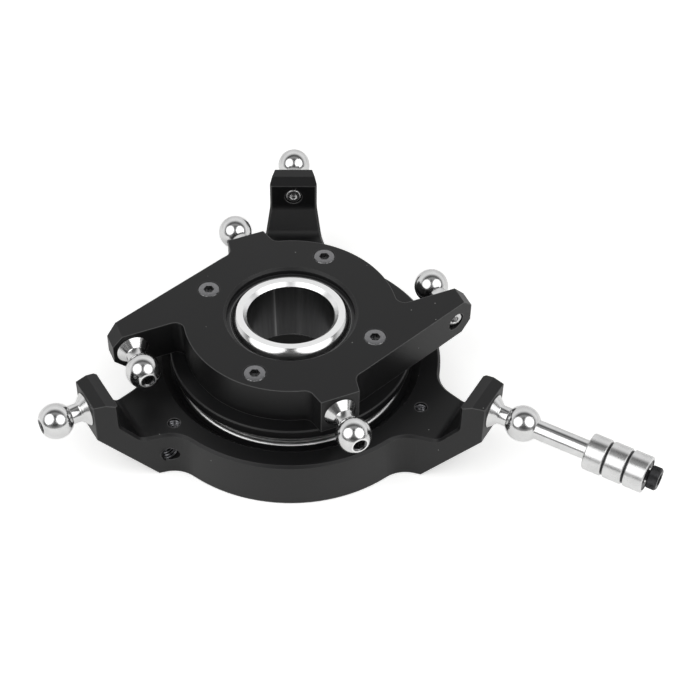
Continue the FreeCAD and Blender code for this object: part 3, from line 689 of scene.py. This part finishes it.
class SWASH_OT_plate_screws(bpy.types.Operator):
    """Make the four countersunk screws that hold the plate to the hub"""

    bl_idname = "swash.plate_screws"
    bl_label = "Plate screws"

    def execute(self, context):
        circle, head, shank, mouth, length, sunk, across = 12.2, 1.5, 0.8, 0.8, 6.6, 0.02, 1.3
        finish = ("steel_screw", "steel_painted_shade")
        for index in range(4):
            bm = turned([
                (0.0, -length), (shank, -length), (shank, -head + shank), (head, -0.2), (head, -0.14),
                (head - 0.12, -0.03), (head - 0.16, -sunk), (mouth, -sunk),
            ], 72)
            hex_socket(bm, mouth, -sunk, across, 0.7)
            # the ring round the head takes steel darkened as painted shade for the gap
            paint(bm, 1, lambda reach, height: reach > head - 0.13)
            position = compass(PLATE_SPIN + 45 + 90 * index) * circle + UPRIGHT * PLATE_TOP
            make_piece(
                "plate_screw_%d_head" % index, bm, PLATE, finish,
                Matrix.Translation(position * MM), ["plate_screw_%d" % index],
            )
        return {"FINISHED"}


class SWASH_OT_bearing(bpy.types.Operator):
    """Turn the main bearing's outer race, with the groove and lip that hold its shield"""

    bl_idname = "swash.bearing"
    bl_label = "Main bearing"

    def execute(self, context):
        outer, wall, top, base, round_off, bevel = 16.0, 1.45, -4.1, -10.1, 0.6, 0.3
        inner, middle = outer - wall, (top + base) / 2
        snap_groove, step, lead_in = top - 0.2, top - 0.16, top - 0.1
        lip = [
            (inner, lead_in), (inner + 0.05, top), (inner + 0.13, top), (inner + 0.17, snap_groove),
            (inner + 0.40, snap_groove), (inner + 0.44, top), (inner + 0.56, top), (inner + 0.6, step),
            (inner + 0.8, step), (outer - round_off, top),
        ]
        corner = (outer - round_off, top - round_off, 90, 10)
        raceway = [
            (inner, middle - 1.2), (inner + 0.2, middle - 0.9), (inner + 0.36, middle),
            (inner + 0.2, middle + 0.9), (inner, middle + 1.2), (inner, lead_in),
        ]
        outside = [corner, (outer, base + bevel), (outer - bevel, base), (inner, base)]
        bm = turned(lip + outside + raceway, 256)
        make_piece(
            "main_bearing_outer_race_turned", bm, RING, ("steel_bearing_race",), None,
            ["main_bearing_outer_race"],
        )
        return {"FINISHED"}


class SWASH_OT_threads(bpy.types.Operator):
    """Cut the threads in the tapped holes on top and in the sides of the three arms"""

    bl_idname = "swash.threads"
    bl_label = "Threads"

    def execute(self, context):
        circle, side_reach, side_start, side_height = 20.2, 21.5, 1.2, -6.8
        finish = ("aluminium_tapped",)
        for side, angle in TOP_HOLES.items():
            thread = helix(radius=0.86, depth=-0.14, pitch=0.4, turns=5.6, low=-2.45)
            place = aimed(compass(angle) * circle + UPRIGHT * RING_TOP, UPRIGHT)
            make_piece("top_thread_" + side, thread, RING, finish, place)
        for side, angle in ARM_ANGLES.items():
            thread = helix(radius=1.16, depth=-0.17, pitch=0.45, turns=8.4, low=0.0)
            across = compass(angle + 90)
            position = compass(angle) * side_reach + across * side_start + UPRIGHT * side_height
            make_piece("side_thread_" + side, thread, RING, finish, aimed(position, across))
        return {"FINISHED"}


# ---------------------------------------------------------------- stage

class SWASH_OT_stage(bpy.types.Operator):
    """Lay the floor, hang the lamps and stand the camera"""

    bl_idname = "swash.stage"
    bl_label = "Studio"

    def execute(self, context):
        lay_floor()
        hang_lamps()
        light_room()
        stand_camera()
        context.scene.view_settings.view_transform = "Standard"
        return {"FINISHED"}


def seen_glow(tree, straight, mirrored):
    """Added light: one strength seen straight, one in reflections and glass, none for bounces."""
    path = add(tree, "ShaderNodeLightPath")
    mirror = add(
        tree, "ShaderNodeMath", {0: path.outputs["Is Glossy Ray"], 1: path.outputs["Is Transmission Ray"]},
        operation="MAXIMUM",
    )
    scaled = add(tree, "ShaderNodeMath", {0: mirror.outputs[0]}, operation="MULTIPLY")
    scaled.inputs[1].default_value = mirrored
    total = add(
        tree, "ShaderNodeMath", {0: path.outputs["Is Camera Ray"], 2: scaled.outputs[0]},
        operation="MULTIPLY_ADD",
    )
    total.inputs[1].default_value = straight
    return total.outputs[0]


def lay_floor():
    """A pale floor under the part, white where it is seen and dimmed only by the part's own shadow."""
    half_width, gap = 1.2, 0.2 * MM
    bm = bmesh.new()
    bmesh.ops.create_grid(bm, x_segments=2, y_segments=2, size=half_width)
    bmesh.ops.translate(bm, vec=(0, 0, CAD_BOX[0].z - gap), verts=bm.verts[:])
    mesh = bpy.data.meshes.new("floor")
    bm.to_mesh(mesh)
    bm.free()
    made, tree, output = start_material("paper_white_floor")
    matte = add(tree, "ShaderNodeBsdfDiffuse", Color=linear("#F4F4F3"))
    strength = seen_glow(tree, straight=0.45, mirrored=0.2)
    glow = add(tree, "ShaderNodeEmission", {"Strength": strength}, Color=linear("#FFFFFF"))
    both = add(tree, "ShaderNodeAddShader", {0: matte.outputs[0], 1: glow.outputs[0]})
    tree.links.new(both.outputs[0], output.inputs["Surface"])
    mesh.materials.append(made)
    floor = bpy.data.objects.new("floor", mesh)
    bpy.context.scene.collection.objects.link(floor)


def hang_lamps():
    """Two large round softboxes, either side of the viewer and aimed at the part."""
    sideways, forward, up = 0.31, 0.22, 0.36
    across, watts = 0.60, 1.45
    for name, side in (("lamp_left", -sideways), ("lamp_right", sideways)):
        data = bpy.data.lights.new(name, "AREA")
        data.shape, data.size, data.energy = "DISK", across, watts
        lamp = bpy.data.objects.new(name, data)
        lamp.location = (side, -forward, up)
        lamp.rotation_mode = "QUATERNION"
        lamp.rotation_quaternion = (-lamp.location).to_track_quat("-Z", "Y")
        bpy.context.scene.collection.objects.link(lamp)


def light_room():
    """An even pale room. Only polished parts mirror how it dims from behind the part to its front."""
    world = bpy.data.worlds.new("light_tent")
    bpy.context.scene.world = world
    world.use_nodes = True
    tree = world.node_tree
    tree.nodes.clear()
    output = add(tree, "ShaderNodeOutputWorld")
    ray = add(tree, "ShaderNodeTexCoord").outputs["Generated"]
    # 0 looks away from the middle of the dim part, which is up in front, and 1 looks straight at it
    dim_middle = (0.02, -0.70, 0.715)
    towards = add(tree, "ShaderNodeVectorMath", {0: ray}, operation="DOT_PRODUCT")
    towards.inputs[1].default_value = dim_middle
    level = add(tree, "ShaderNodeMapRange", {"Value": towards.outputs["Value"]})
    level.inputs["From Min"].default_value = -1.0
    grey = ramp(tree, level.outputs["Result"], [
        (0.0, linear("#C8C8C8")), (0.25, linear("#E8E8E8")), (0.5, linear("#FFFFFF")),
        (0.58, linear("#DCDCDC")), (0.66, linear("#606060")), (0.74, linear("#585858")),
        (0.81, linear("#A6A6A6")), (0.875, linear("#8C8C8C")), (0.92, linear("#565656")),
        (0.965, linear("#484848")), (1.0, linear("#6E6E6E")),
    ])
    path = add(tree, "ShaderNodeLightPath")
    mirrored = add(tree, "ShaderNodeBackground", {"Color": grey.outputs["Color"]}, Strength=1.0)
    ambient = add(tree, "ShaderNodeBackground", Strength=0.3)
    ambient.inputs["Color"].default_value = linear("#FFFFFF")
    seen = add(tree, "ShaderNodeBackground", Strength=1.0)
    seen.inputs["Color"].default_value = linear("#FFFFFF")
    unseen = add(
        tree, "ShaderNodeMixShader",
        {0: path.outputs["Is Glossy Ray"], 1: ambient.outputs[0], 2: mirrored.outputs[0]},
    )
    room = add(
        tree, "ShaderNodeMixShader",
        {0: path.outputs["Is Camera Ray"], 1: unseen.outputs[0], 2: seen.outputs[0]},
    )
    tree.links.new(room.outputs[0], output.inputs["Surface"])


def stand_camera():
    """Camera at 46 degrees above the horizon, almost straight in front, with a long lens."""
    azimuth, elevation, roll = math.radians(1.225), math.radians(45.755), math.radians(-0.615)
    distance = 227.794 * MM
    target = UPRIGHT * RING_TOP * MM
    right = Vector((math.cos(azimuth), math.sin(azimuth), 0))
    back = right.cross(UPRIGHT) * math.cos(elevation) + UPRIGHT * math.sin(elevation)
    up = back.cross(right)
    tilted_right = right * math.cos(roll) + up * math.sin(roll)
    tilted_up = up * math.cos(roll) - right * math.sin(roll)
    data = bpy.data.cameras.new("camera")
    data.sensor_width = 36.0
    data.lens = 84.351
    data.shift_x, data.shift_y = 0.08409, 0.00530
    data.clip_start, data.clip_end = 0.01, 10.0
    camera = bpy.data.objects.new("camera", data)
    turn = Matrix((tilted_right, tilted_up, back)).transposed().to_4x4()
    camera.matrix_world = Matrix.Translation(target + back * distance) @ turn
    bpy.context.scene.collection.objects.link(camera)
    bpy.context.scene.camera = camera


# ---------------------------------------------------------------- panel and registration

OPERATORS = (
    SWASH_OT_finishes, SWASH_OT_ball_studs, SWASH_OT_guide_pin, SWASH_OT_centre_ball, SWASH_OT_plate_screws,
    SWASH_OT_bearing, SWASH_OT_threads, SWASH_OT_stage,
)


class SWASH_PT_panel(bpy.types.Panel):
    """Lists the steps that dress the swashplate"""

    bl_idname = "SWASH_PT_panel"
    bl_label = "Swashplate"
    bl_space_type = "VIEW_3D"
    bl_region_type = "UI"
    bl_category = "Swashplate"

    def draw(self, context):
        for group in (context.scene.swashplate_sizes, context.scene.swashplate_finishes):
            for name in group.__annotations__:
                self.layout.prop(group, name)
        for operator in OPERATORS:
            self.layout.operator(operator.bl_idname)


CLASSES = (SwashplateSizes, SwashplateFinishes, *OPERATORS, SWASH_PT_panel)


def register():
    for cls in CLASSES:
        bpy.utils.register_class(cls)
    bpy.types.Scene.swashplate_sizes = PointerProperty(type=SwashplateSizes)
    bpy.types.Scene.swashplate_finishes = PointerProperty(type=SwashplateFinishes)


def unregister():
    del bpy.types.Scene.swashplate_finishes
    del bpy.types.Scene.swashplate_sizes
    for cls in reversed(CLASSES):
        bpy.utils.unregister_class(cls)


def main():
    register()
    bpy.ops.swash.finishes()
    bpy.ops.swash.ball_studs()
    bpy.ops.swash.guide_pin()
    bpy.ops.swash.centre_ball()
    bpy.ops.swash.plate_screws()
    bpy.ops.swash.bearing()
    bpy.ops.swash.threads()
    bpy.ops.swash.stage()


if __name__ == "__main__":
    main()
